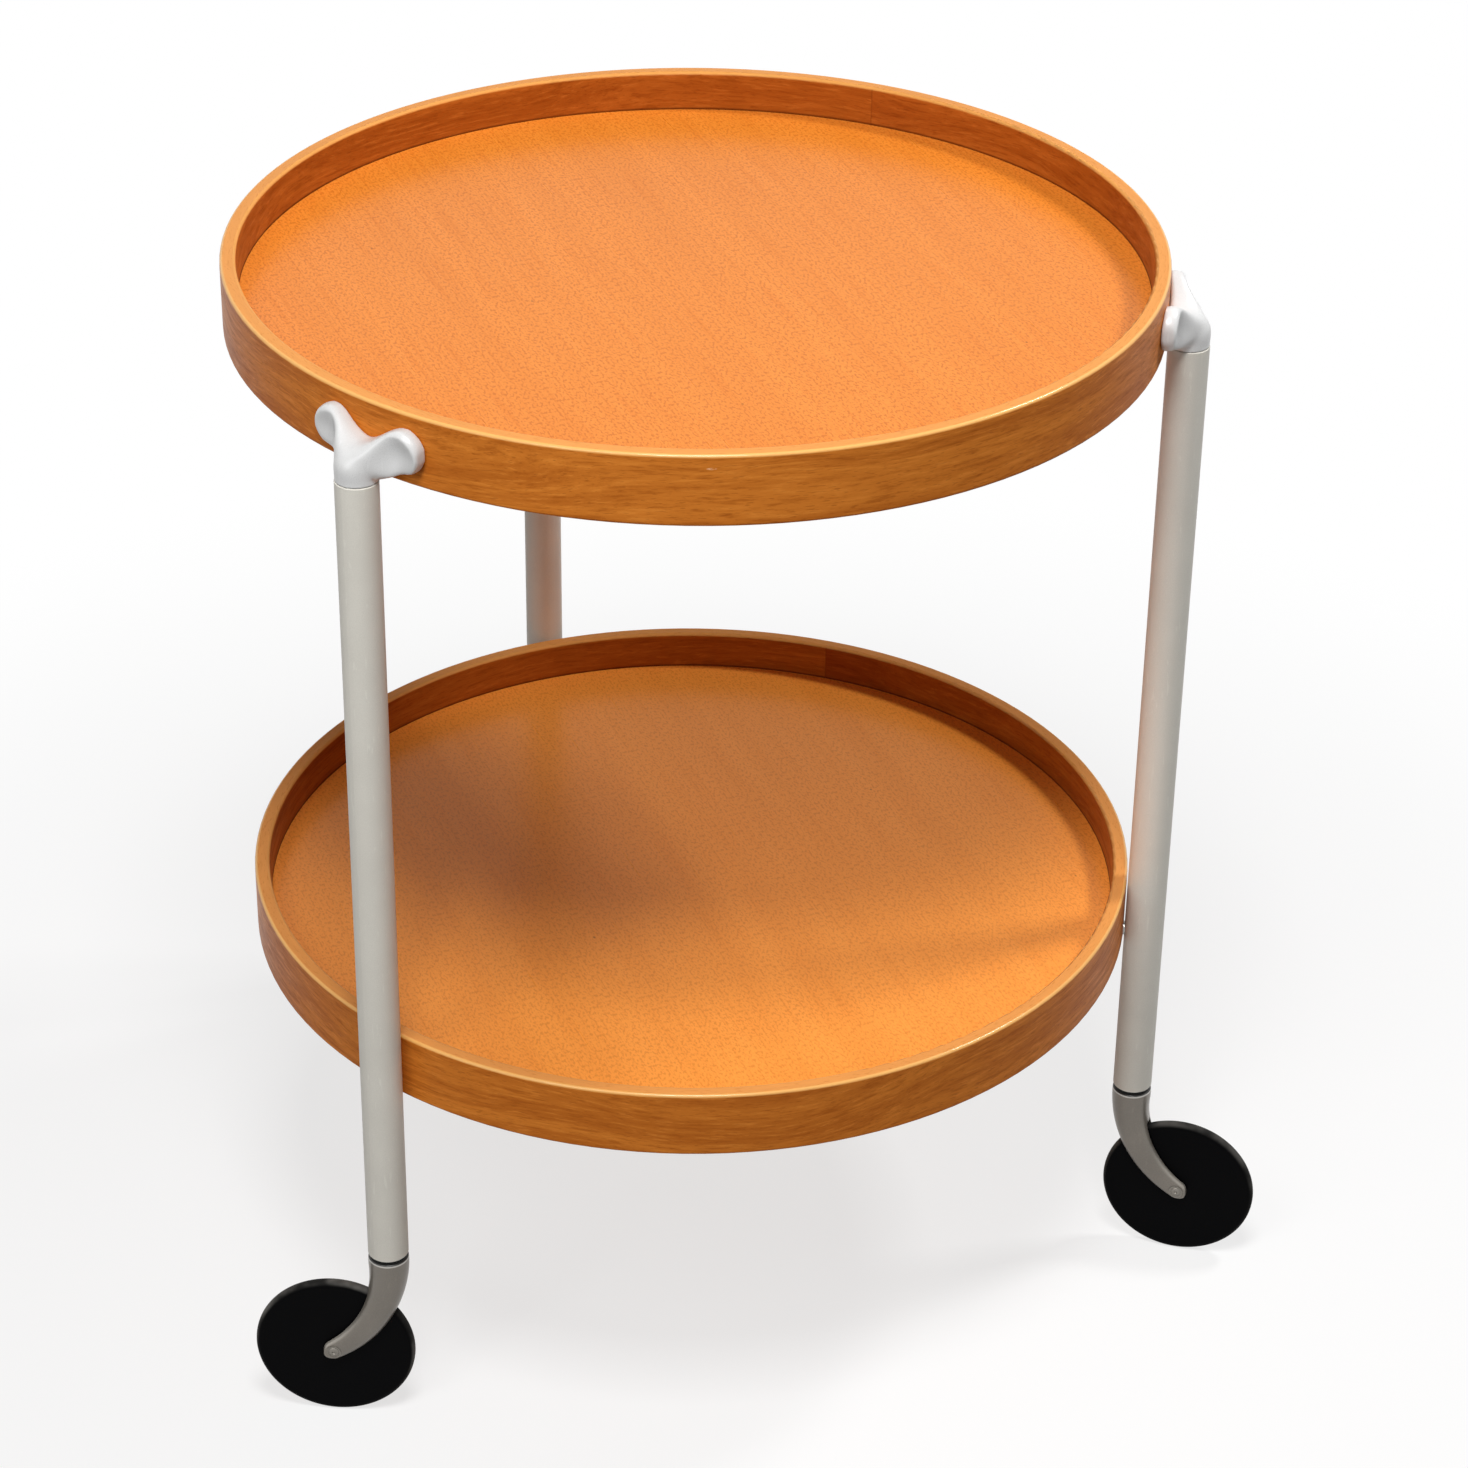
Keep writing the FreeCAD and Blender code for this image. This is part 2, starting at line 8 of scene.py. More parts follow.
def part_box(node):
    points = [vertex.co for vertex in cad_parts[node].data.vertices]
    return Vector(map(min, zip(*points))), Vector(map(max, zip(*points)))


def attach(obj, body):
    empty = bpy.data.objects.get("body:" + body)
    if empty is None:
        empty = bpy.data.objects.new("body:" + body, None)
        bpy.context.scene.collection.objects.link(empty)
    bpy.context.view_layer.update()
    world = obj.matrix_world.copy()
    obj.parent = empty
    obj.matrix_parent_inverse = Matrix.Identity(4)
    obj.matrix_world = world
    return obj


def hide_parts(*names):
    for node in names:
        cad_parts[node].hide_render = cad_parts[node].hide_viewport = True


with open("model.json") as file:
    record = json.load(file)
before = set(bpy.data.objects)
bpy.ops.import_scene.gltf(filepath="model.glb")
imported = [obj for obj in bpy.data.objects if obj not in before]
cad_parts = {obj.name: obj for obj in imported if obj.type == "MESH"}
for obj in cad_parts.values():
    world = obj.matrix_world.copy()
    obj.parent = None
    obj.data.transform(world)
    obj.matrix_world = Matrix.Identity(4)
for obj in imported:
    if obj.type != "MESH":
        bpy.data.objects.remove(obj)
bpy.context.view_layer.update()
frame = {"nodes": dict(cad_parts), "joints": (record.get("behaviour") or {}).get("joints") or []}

# Round two-tier trolley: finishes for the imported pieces, soft castings, and a plain studio. Metres.

MM = 0.001
LEGS = ("left", "right", "rear")
TIERS = ("upper", "lower")

# Where the picture is taken from, with angles in degrees, and the lens and sensor in millimetres
CAMERA_PLACE = (-0.7763, -2.0287, 1.6555)
CAMERA_HEADING = 21.63
CAMERA_DIP = 30.781
CAMERA_ROLL = 0.767
CAMERA_LENS = 97.78
CAMERA_SENSOR = 36.0

# Sizes read from the frame
TRAY_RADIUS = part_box("upper_tray_hoop")[1].x
RIM_TOPS = {tier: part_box(tier + "_tray_hoop")[1].z for tier in TIERS}
FLOOR_TOPS = {tier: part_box(tier + "_tray_floor")[1].z for tier in TIERS}
SEAM_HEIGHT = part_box("rear_leg_tube")[1].z
WHEEL_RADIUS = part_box("rear_wheel")[1].z / 2
COLLAR_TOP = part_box("rear_fork")[1].z


def joint_of(name):
    """One of the frame's joints, by its name."""
    return next(joint for joint in frame["joints"] if joint["name"] == name)


# Node helpers

def feed(tree, target, value):
    """Links a socket to an input, or sets the input's own value."""
    if isinstance(value, bpy.types.NodeSocket):
        tree.links.new(value, target)
    else:
        target.default_value = value


def add(tree, kind, inputs, **settings):
    """Adds a shader node with its settings and its inputs, by name or by number."""
    node = tree.nodes.new("ShaderNode" + kind)
    for name, value in settings.items():
        setattr(node, name, value)
    for name, value in inputs.items():
        feed(tree, node.inputs[name], value)
    return node


def calc(tree, operation, *values, clamp=False):
    """One step of arithmetic on values or sockets."""
    node = add(tree, "Math", dict(enumerate(values)), operation=operation, use_clamp=clamp)
    return node.outputs[0]


def span(tree, value, low, high, start=0.0, end=1.0):
    """Smoothly turns the stretch from low to high of a value into one from start to end."""
    inputs = {"Value": value, "From Min": low, "From Max": high, "To Min": start, "To Max": end}
    return add(tree, "MapRange", inputs, interpolation_type="SMOOTHSTEP").outputs[0]


def blend(tree, share, first, second, mode="MIX"):
    """Mixes two colours by a share."""
    node = add(tree, "Mix", {0: share, 6: first, 7: second}, data_type="RGBA", blend_type=mode)
    return node.outputs[2]


def mark(tree, under, mask, share, colour):
    """Lays a colour over another where a mask says so, as strongly as its share says."""
    return blend(tree, calc(tree, "MULTIPLY", mask, share), under, colour)


def combine(tree, **axes):
    """A vector from the values of its axes. An axis that isn't named stays at 0."""
    return add(tree, "CombineXYZ", {axis.upper(): value for axis, value in axes.items()}).outputs[0]


def separate(tree, vector):
    """A vector's axes, by name."""
    return add(tree, "SeparateXYZ", {0: vector}).outputs


def sum_of(tree, first, second):
    """Two vectors added."""
    return add(tree, "VectorMath", {0: first, 1: second}, operation="ADD").outputs[0]


def length_of(tree, vector):
    """How long a vector is."""
    return add(tree, "VectorMath", {0: vector}, operation="LENGTH").outputs["Value"]


def distance_of(tree, first, second):
    """How far apart two places are."""
    return add(tree, "VectorMath", {0: first, 1: second}, operation="DISTANCE").outputs["Value"]


def stretch(tree, vector, per_metre):
    """Scales a place in metres to pattern steps, by a number for each axis."""
    return add(tree, "VectorMath", {0: vector, 1: per_metre}, operation="MULTIPLY").outputs[0]


def noise(tree, vector, per_metre, detail=2.0, roughness=0.5, distortion=0.0):
    """Cloudy noise, as long and as wide along each axis as its steps per metre say."""
    inputs = {
        "Vector": stretch(tree, vector, per_metre),
        "Scale": 1.0,
        "Detail": detail,
        "Roughness": roughness,
        "Distortion": distortion,
    }
    return add(tree, "TexNoise", inputs).outputs[0]


def place(tree):
    """The surface point, in the frame's own metres."""
    return add(tree, "TexCoord", {}).outputs["Object"]


def height_of(tree):
    """The surface point's height above the ground."""
    return separate(tree, place(tree))["Z"]


def shader_group(name, inputs, outputs):
    """An empty node group with named number inputs and named outputs."""
    group = bpy.data.node_groups.new(name, "ShaderNodeTree")
    for label, value in inputs.items():
        socket = group.interface.new_socket(label, in_out="INPUT", socket_type="NodeSocketFloat")
        socket.default_value = value
    for label in outputs:
        group.interface.new_socket(label, in_out="OUTPUT", socket_type="NodeSocketFloat")
    return group, group.nodes.new("NodeGroupInput").outputs, group.nodes.new("NodeGroupOutput").inputs


def use_group(tree, group, **values):
    """Places a group in a material, with its own values."""
    node = tree.nodes.new("ShaderNodeGroup")
    node.node_tree = group
    for label, value in values.items():
        feed(tree, node.inputs[label.replace("_", " ").title()], value)
    return node.outputs


def new_material(name, **constants):
    """A material with one principled shader, and that shader's plain values."""
    material = bpy.data.materials.new(name)
    material.use_nodes = True
    shader = material.node_tree.nodes["Principled BSDF"]
    for label, value in constants.items():
        shader.inputs[label.replace("_", " ").title().replace("Ior", "IOR")].default_value = value
    return material, material.node_tree, shader


def bump(tree, shader, height, strength, distance):
    """Feeds a height pattern to a shader as bump."""
    inputs = {"Height": height, "Strength": strength, "Distance": distance}
    feed(tree, shader.inputs["Normal"], add(tree, "Bump", inputs).outputs[0])


# Shared patterns, in steps per metre. A hoop's axes run round it, through its wall and up it

HOOP_SWAY = (5.0, 12.0, 12.0)
HOOP_LEAN = 0.05
HOOP_BANDS = (3.0, 70.0, 90.0)
HOOP_STREAKS = (38.0, 400.0, 400.0)
HOOP_FLECKS = (170.0, 1100.0, 1500.0)
FLECK_RANGE = (0.58, 0.72)

# A joint's line, and the turn in radians over which the wood beside it fades
JOINT_LINE = (0.25 * MM, 0.8 * MM)
JOINT_FADE = 0.4

# Veneer, and the share and size of its specks
FLOOR_BANDS = (38.0, 1.6, 0.0)
FLOOR_LINES = (620.0, 11.0, 0.0)
FLOOR_PORES = (720.0, 340.0, 0.0)
SPECK_CELLS = (60.0, 40.0, 0.0)
SPECK_PICK = (0.93, 0.95)
SPECK_SIZE = (0.02, 0.06)

# Handling marks
CLOUDS = (34.0, 34.0, 34.0)
SCUFFS = (420.0, 420.0, 60.0)
SCUFF_RANGE = (0.64, 0.74)


def bent_grain_group():
    """Beech grain that runs round a bent hoop, the hoop's glued joint, and the wood beside the joint."""
    group, given, out = shader_group(
        "bent_grain",
        {"Joint Turn": 0.0, "Seed": 0.0},
        ("Tone", "Streaks", "Flecks", "Joint", "Beside"),
    )
    # The turn runs from -pi to pi, and both of its ends are at the joint
    turned = add(
        group,
        "VectorRotate",
        {"Vector": place(group), "Angle": calc(group, "SUBTRACT", math.pi, given["Joint Turn"])},
        rotation_type="Z_AXIS",
    ).outputs[0]
    axes = separate(group, turned)
    turn = calc(group, "ARCTAN2", axes["Y"], axes["X"])
    arc = calc(group, "MULTIPLY", turn, TRAY_RADIUS)
    depth = length_of(group, combine(group, x=axes["X"], y=axes["Y"]))
    along = combine(group, x=calc(group, "ADD", arc, given["Seed"]), y=depth, z=axes["Z"])
    # The grain leans a little, so that its lines run out at the hoop's edges
    sway = noise(group, along, HOOP_SWAY, detail=1.0)
    lean = calc(group, "MULTIPLY", calc(group, "SUBTRACT", sway, 0.5), HOOP_LEAN)
    leaning = sum_of(group, along, combine(group, y=lean, z=lean))
    flecks = noise(group, leaning, HOOP_FLECKS, detail=1.0)
    gap = calc(group, "SUBTRACT", math.pi, calc(group, "ABSOLUTE", turn))
    aside = calc(group, "MULTIPLY", gap, TRAY_RADIUS)
    feed(group, out["Tone"], noise(group, leaning, HOOP_BANDS))
    feed(group, out["Streaks"], noise(group, leaning, HOOP_STREAKS, detail=4.0, roughness=0.65))
    feed(group, out["Flecks"], span(group, flecks, *FLECK_RANGE))
    feed(group, out["Joint"], span(group, aside, *JOINT_LINE, 1.0, 0.0))
    feed(group, out["Beside"], span(group, turn, math.pi - JOINT_FADE, math.pi))
    return group


def veneer_grain_group():
    """Straight fine veneer grain along Y, with short dark pores and a few specks."""
    group, given, out = shader_group(
        "veneer_grain",
        {"Seed": 0.0},
        ("Bands", "Lines", "Pores", "Specks"),
    )
    along = sum_of(group, place(group), combine(group, x=given["Seed"], y=given["Seed"]))
    cells = add(group, "TexVoronoi", {"Vector": stretch(group, along, SPECK_CELLS), "Scale": 1.0}).outputs
    chance = add(group, "SeparateColor", {0: cells["Color"]}).outputs[0]
    picked = span(group, chance, *SPECK_PICK)
    spots = span(group, cells["Distance"], *SPECK_SIZE, 1.0, 0.0)
    feed(group, out["Bands"], noise(group, along, FLOOR_BANDS))
    feed(group, out["Lines"], noise(group, along, FLOOR_LINES))
    feed(group, out["Pores"], noise(group, along, FLOOR_PORES))
    feed(group, out["Specks"], calc(group, "MULTIPLY", picked, spots))
    return group


def wear_group():
    """Fine speckle, cloudy handling marks and hairline scuffs for painted, cast and moulded pieces."""
    group, given, out = shader_group(
        "wear",
        {"Grain Size": 0.6, "Seed": 0.0},
        ("Speckle", "Clouds", "Scuffs"),
    )
    shift = combine(group, x=given["Seed"], y=given["Seed"], z=given["Seed"])
    point = sum_of(group, place(group), shift)
    # The grain's size is given in millimetres
    per_metre = calc(group, "DIVIDE", 1 / MM, given["Grain Size"])
    speckle = add(group, "TexNoise", {"Vector": point, "Scale": per_metre, "Detail": 2.0}).outputs[0]
    scuffs = noise(group, point, SCUFFS, distortion=0.4)
    feed(group, out["Speckle"], speckle)
    feed(group, out["Clouds"], noise(group, point, CLOUDS, detail=3.0))
    feed(group, out["Scuffs"], span(group, scuffs, *SCUFF_RANGE))
    return group


BENT_GRAIN = bent_grain_group()
VENEER_GRAIN = veneer_grain_group()
WEAR = wear_group()


# Hoops: the rim's rounded edge and wall, and the height of the painted shade in the corner above the floor

RIM_EDGE = 2.1 * MM
RIM_THICKNESS = 9.5 * MM
FLOOR_CORNER_SHADE = (0.5 * MM, 1.8 * MM)

# Each hoop's joint in degrees round the Z axis from +X, the shade beside it, and its pattern's shift
JOINT_TURNS = {"upper": 44.5, "lower": 49.0}
JOINT_SHADES = {"upper": 0.3, "lower": 0.9}
HOOP_SEEDS = {"upper": 0.0, "lower": 3.7}

# A small scratch on the upper hoop's front: its turn in degrees, its depth below the rim, and its size
SCRATCH_TURN = -109.1
SCRATCH_DROP = 8.0 * MM
SCRATCH_REACH = (1.2 * MM, 3.4 * MM)
SCRATCH_FLATNESS = 4.5
SCRATCH_RAGGED = (500.0, 500.0, 1800.0)
SCRATCH_BREAKS = (0.35, 0.5)
SCRATCH_COLOUR = (0.97, 0.56, 0.30, 1)

# Beech tones, and the ranges of the grain that show them
BEECH_TONES = ((0.56, 0.154, 0.016, 1), (0.70, 0.215, 0.026, 1))
BEECH_RANGE = (0.34, 0.66)
DARK_STREAK = (0.39, 0.090, 0.0065, 1)
DARK_RANGE = (0.50, 0.68, 0.0, 0.55)
PALE_STREAK = (0.85, 0.292, 0.043, 1)
PALE_RANGE = (0.32, 0.48, 0.55, 0.0)
BESIDE_TINT = (0.72, 0.55, 0.55, 1)
# Painted shade multiplied into the hoop's inner wall
WALL_PAINTED_SHADE = (0.65, 0.59, 0.60, 1)
HOOP_ROUGHNESS = (0.2, 0.8, 0.30, 0.42)
EDGE_GLOSS = 0.6
HOOP_RELIEF = (0.35, 0.08 * MM)

# Marks on the beech, with painted shade and painted highlights among them, each as a share and a colour
HOOP_FLECK = (0.4, (0.32, 0.07, 0.005, 1))
CORNER_PAINTED_SHADE = (0.7, (0.09, 0.018, 0.003, 1))
TOP_PALENESS_AND_HIGHLIGHT = (0.8, (0.78, 0.345, 0.098, 1))
TOP_FLECK = (0.4, (0.58, 0.19, 0.03, 1))
INNER_EDGE_PAINTED_HIGHLIGHT = (0.35, (0.92, 0.48, 0.12, 1))
OUTER_EDGE_PAINTED_HIGHLIGHT = (0.7, (0.93, 0.53, 0.155, 1))
JOINT_MARK = (0.25, (0.10, 0.022, 0.004, 1))


def rim_masks(tree, tier):
    """Where a hoop's outer and inner top edge, top, inner wall and corner at the floor are, from 0 to 1."""
    axes = separate(tree, place(tree))
    radius = length_of(tree, combine(tree, x=axes["X"], y=axes["Y"]))
    inside = TRAY_RADIUS - RIM_THICKNESS
    top = span(tree, axes["Z"], RIM_TOPS[tier] - RIM_EDGE, RIM_TOPS[tier] - RIM_EDGE / 3)
    outer = span(tree, radius, TRAY_RADIUS - RIM_EDGE, TRAY_RADIUS - RIM_EDGE / 2)
    inner = span(tree, radius, inside + RIM_EDGE / 2, inside + RIM_EDGE, 1.0, 0.0)
    wall = span(tree, radius, inside + RIM_EDGE / 4, inside + RIM_EDGE, 1.0, 0.0)
    low = span(tree, calc(tree, "SUBTRACT", axes["Z"], FLOOR_TOPS[tier]), *FLOOR_CORNER_SHADE, 1.0, 0.0)
    outer_edge = calc(tree, "MULTIPLY", top, outer)
    inner_edge = calc(tree, "MULTIPLY", top, inner)
    corner = calc(tree, "MULTIPLY", wall, low)
    return outer_edge, inner_edge, top, wall, corner


def scratch_mask(tree, tier):
    """A short level scratch on the outer face of a hoop, from 0 to 1."""
    turn = math.radians(SCRATCH_TURN)
    height = RIM_TOPS[tier] - SCRATCH_DROP
    spot = (TRAY_RADIUS * math.cos(turn), TRAY_RADIUS * math.sin(turn), SCRATCH_FLATNESS * height)
    point = stretch(tree, place(tree), (1.0, 1.0, SCRATCH_FLATNESS))
    near = span(tree, distance_of(tree, point, spot), *SCRATCH_REACH, 1.0, 0.0)
    ragged = noise(tree, place(tree), SCRATCH_RAGGED, detail=1.0)
    return calc(tree, "MULTIPLY", near, span(tree, ragged, *SCRATCH_BREAKS))


def beech_hoop(tier):
    """Lacquered beech, bent round the tray, with painted shade on its inner wall and in the corner at the
    floor, a top face paler in part by a painted highlight, and painted highlights along its rounded top
    edges.
    """
    material, tree, shader = new_material(
        "beech_hoop_" + tier, specular_ior_level=0.05, coat_roughness=0.16, coat_ior=1.5)
    joint_turn = math.radians(JOINT_TURNS[tier])
    grain = use_group(tree, BENT_GRAIN, joint_turn=joint_turn, seed=HOOP_SEEDS[tier])
    outer_edge, inner_edge, top, wall, corner = rim_masks(tree, tier)
    base = blend(tree, span(tree, grain["Tone"], *BEECH_RANGE), *BEECH_TONES)
    streaked = blend(tree, span(tree, grain["Streaks"], *DARK_RANGE), base, DARK_STREAK)
    lit = blend(tree, span(tree, grain["Streaks"], *PALE_RANGE), streaked, PALE_STREAK)
    flecked = mark(tree, lit, grain["Flecks"], *HOOP_FLECK)
    beside = calc(tree, "MULTIPLY", grain["Beside"], JOINT_SHADES[tier])
    lapped = blend(tree, beside, flecked, BESIDE_TINT, "MULTIPLY")
    # The inner wall is darkened: painted shade
    shaded = blend(tree, wall, lapped, WALL_PAINTED_SHADE, "MULTIPLY")
    # A dark line in the corner above the floor: painted shade
    corner_shaded = mark(tree, shaded, corner, *CORNER_PAINTED_SHADE)
    # The top face is paler, partly as a painted highlight
    top_paled = mark(tree, corner_shaded, top, *TOP_PALENESS_AND_HIGHLIGHT)
    speckled = mark(tree, top_paled, calc(tree, "MULTIPLY", grain["Flecks"], top), *TOP_FLECK)
    # A paler line along the inner top edge: painted highlight
    edge_highlit = mark(tree, speckled, inner_edge, *INNER_EDGE_PAINTED_HIGHLIGHT)
    # A pale line along the outer top edge: painted highlight, under the coat's real gloss on that edge
    outer_highlit = mark(tree, edge_highlit, outer_edge, *OUTER_EDGE_PAINTED_HIGHLIGHT)
    joint = calc(tree, "MULTIPLY", grain["Joint"], calc(tree, "SUBTRACT", 1.0, top))
    colour = mark(tree, outer_highlit, joint, *JOINT_MARK)
    if tier == "upper":
        colour = blend(tree, scratch_mask(tree, tier), colour, SCRATCH_COLOUR)
    feed(tree, shader.inputs["Base Color"], colour)
    feed(tree, shader.inputs["Roughness"], span(tree, grain["Streaks"], *HOOP_ROUGHNESS))
    feed(tree, shader.inputs["Coat Weight"], calc(tree, "MULTIPLY", outer_edge, EDGE_GLOSS))
    sunk = calc(tree, "ADD", grain["Flecks"], joint)
    bump(tree, shader, calc(tree, "MULTIPLY", sunk, -1.0), *HOOP_RELIEF)
    return material


# Floors: the veneer's tones, how strongly its lines and pores show, and its pattern's shift

# The tiers' tones were set apart as painted light, the lower floor paler than the upper
VENEER_TONES_WITH_PAINTED_LIGHT = {
    "upper": ((0.77, 0.239, 0.026, 1), (0.82, 0.262, 0.032, 1)),
    "lower": ((0.92, 0.322, 0.046, 1), (0.96, 0.347, 0.053, 1)),
}
VENEER_RANGE = (0.3, 0.7)
LINE_SHARES = {"upper": 0.5, "lower": 0.18}
LINE_RANGE = (0.46, 0.72)
LINE_COLOUR = (0.67, 0.176, 0.016, 1)
PORE_SHARES = {"upper": 1.0, "lower": 0.5}
PORE_RANGE = (0.46, 0.66)
PORE_COLOUR = (0.62, 0.160, 0.014, 1)
FLOOR_SPECK = (0.6, (0.22, 0.05, 0.006, 1))
FLOOR_ROUGHNESS = (0.2, 0.8, 0.27, 0.34)
FLOOR_RELIEF = (0.12, 0.06 * MM)
FLOOR_SEEDS = {"upper": 0.0, "lower": 5.3}


def veneer_floor(tier):
    """Lacquered veneer with fine straight grain."""
    material, tree, shader = new_material("veneer_floor_" + tier, specular_ior_level=0.18)
    grain = use_group(tree, VENEER_GRAIN, seed=FLOOR_SEEDS[tier])
    lines = span(tree, grain["Lines"], *LINE_RANGE, 0.0, LINE_SHARES[tier])
    pores = span(tree, grain["Pores"], *PORE_RANGE, 0.0, PORE_SHARES[tier])
    base = blend(tree, span(tree, grain["Bands"], *VENEER_RANGE), *VENEER_TONES_WITH_PAINTED_LIGHT[tier])
    lined = blend(tree, lines, base, LINE_COLOUR)
    pored = blend(tree, pores, lined, PORE_COLOUR)
    feed(tree, shader.inputs["Base Color"], mark(tree, pored, grain["Specks"], *FLOOR_SPECK))
    feed(tree, shader.inputs["Roughness"], span(tree, grain["Lines"], *FLOOR_ROUGHNESS))
    bump(tree, shader, calc(tree, "ADD", grain["Pores"], grain["Lines"]), *FLOOR_RELIEF)
    return material


# Metal, plastic and rubber: how much of the mottling comes from each pattern, and how pale the scuffs are

SPECKLE_SHARE = 0.6
CLOUD_SHARE = 0.4
MOTTLE_RANGE = (0.35, 0.65)
SCUFF_SHARE = 0.25
SCUFF_GAIN = 1.25
ROUGHNESS_RANGE = (0.25, 0.75)
ROUGHNESS_SWING = 0.05
RELIEF_DEPTH = 0.05 * MM

# Dust on the treads, its amount per wheel painted light; painted shade at the tops' seams; painted light on
# the forks' upward faces; and a painted highlight and the painted shade of the gap at their collars
TREAD_DUST_DEPTH = 2.2 * MM
TREAD_DUST_AND_LIGHT = {"left": 0.75, "right": 0.35, "rear": 0.5}
TREAD_PATCHES = (0.38, 0.60, 0.10, 1.0)
TREAD_COLOUR = (0.21, 0.20, 0.185, 1)
SEAM_SHADE_HEIGHT = 0.8 * MM
SEAM_SHADE_SHARE = 0.85
SEAM_SHADE_COLOUR = (0.06, 0.057, 0.053, 1)
FORK_UPWARD_LIGHT = (0.25, 0.65, 0.0, 0.7)
FORK_UPWARD_LIGHT_COLOUR = (0.44, 0.41, 0.36, 1)
COLLAR_PAINTED_HIGHLIGHT = (1.6 * MM, 2.1 * MM, 0.8, 0.0)
COLLAR_HIGHLIGHT_COLOUR = (0.62, 0.60, 0.56, 1)
COLLAR_GAP_SHADE = (0.7 * MM, 1.0 * MM, 0.95, 0.0)
COLLAR_GAP_SHADE_COLOUR = (0.004, 0.004, 0.004, 1)


def worn_surface(name, colour, dark, rough, grain_size, seed, relief, **constants):
    """A smooth painted, cast or moulded surface, and the colour it has with its clouds and scuffs."""
    material, tree, shader = new_material(name, **constants)
    wear = use_group(tree, WEAR, grain_size=grain_size, seed=seed)
    fine = calc(tree, "MULTIPLY", wear["Speckle"], SPECKLE_SHARE)
    mottled = calc(tree, "ADD", fine, calc(tree, "MULTIPLY", wear["Clouds"], CLOUD_SHARE))
    base = blend(tree, span(tree, mottled, *MOTTLE_RANGE), dark, colour)
    light = tuple(min(1.0, SCUFF_GAIN * part) for part in colour[:3]) + (1,)
    scuffed = mark(tree, base, wear["Scuffs"], SCUFF_SHARE, light)
    smooth, coarse = rough - ROUGHNESS_SWING, rough + ROUGHNESS_SWING
    feed(tree, shader.inputs["Base Color"], scuffed)
    feed(tree, shader.inputs["Roughness"], span(tree, mottled, *ROUGHNESS_RANGE, smooth, coarse))
    bump(tree, shader, wear["Speckle"], relief, RELIEF_DEPTH)
    return material, tree, shader, scuffed, wear


def worn_finish(name, **values):
    """A worn surface with nothing more on it."""
    return worn_surface(name, **values)[0]


def wheel_rubber(leg):
    """Plain black rubber, grey with dust along the tread, in an amount per wheel that is partly painted
    light.
    """
    material, tree, shader, black, wear = worn_surface(
        leg + "_wheel_rubber", colour=(0.0014, 0.0014, 0.0017, 1), dark=(0.0008, 0.0008, 0.0010, 1),
        rough=0.55, grain_size=0.8, seed=9.0, relief=0.12, specular_ior_level=0.035)
    out = distance_of(tree, place(tree), joint_of(leg + "_wheel_spin")["pos_m"])
    tread = span(tree, out, WHEEL_RADIUS - TREAD_DUST_DEPTH, WHEEL_RADIUS)
    dust_and_painted_light = calc(tree, "MULTIPLY", tread, span(tree, wear["Clouds"], *TREAD_PATCHES))
    # The dust's amount differs per wheel as painted light
    feed(tree, shader.inputs["Base Color"], mark(tree, black, dust_and_painted_light, TREAD_DUST_AND_LIGHT[leg], TREAD_COLOUR))
    return material


def bracket_silver():
    """Smooth silver paint on the cast tops, with painted shade in a dark band just above the seam where a
    top meets its tube.
    """
    material, tree, shader, silver = worn_surface(
        "bracket_silver", colour=(0.75, 0.75, 0.745, 1), dark=(0.69, 0.69, 0.685, 1),
        rough=0.31, grain_size=0.5, seed=3.0, relief=0.05, specular_ior_level=0.9)[:4]
    # A dark band just above the seam: painted shade
    above = (SEAM_HEIGHT + SEAM_SHADE_HEIGHT / 3, SEAM_HEIGHT + SEAM_SHADE_HEIGHT)
    seam = span(tree, height_of(tree), *above, SEAM_SHADE_SHARE, 0.0)
    feed(tree, shader.inputs["Base Color"], blend(tree, seam, silver, SEAM_SHADE_COLOUR))
    return material


def fork_alloy():
    """Satin alloy, with painted light on the faces turned up, a painted highlight round the collar, and
    painted shade for the gap at its top.
    """
    material, tree, shader, alloy = worn_surface(
        "fork_alloy", colour=(0.225, 0.20, 0.167, 1), dark=(0.17, 0.151, 0.126, 1),
        rough=0.38, grain_size=0.4, seed=5.0, relief=0.10,
        metallic=0.4, coat_weight=0.4, coat_roughness=0.2)[:4]
    facing = separate(tree, add(tree, "TexCoord", {}).outputs["Normal"])["Z"]
    below = calc(tree, "SUBTRACT", COLLAR_TOP, height_of(tree))
    # Paler where the faces turn up: painted light
    dust_and_painted_light = blend(tree, span(tree, facing, *FORK_UPWARD_LIGHT), alloy, FORK_UPWARD_LIGHT_COLOUR)
    # A pale band just below the collar's top: painted highlight of its chamfer
    edge_highlit = blend(tree, span(tree, below, *COLLAR_PAINTED_HIGHLIGHT), dust_and_painted_light, COLLAR_HIGHLIGHT_COLOUR)
    # A near-black band at the collar's top: painted shade of the gap
    gap_shaded = blend(tree, span(tree, below, *COLLAR_GAP_SHADE), edge_highlit, COLLAR_GAP_SHADE_COLOUR)
    feed(tree, shader.inputs["Base Color"], gap_shaded)
    return material


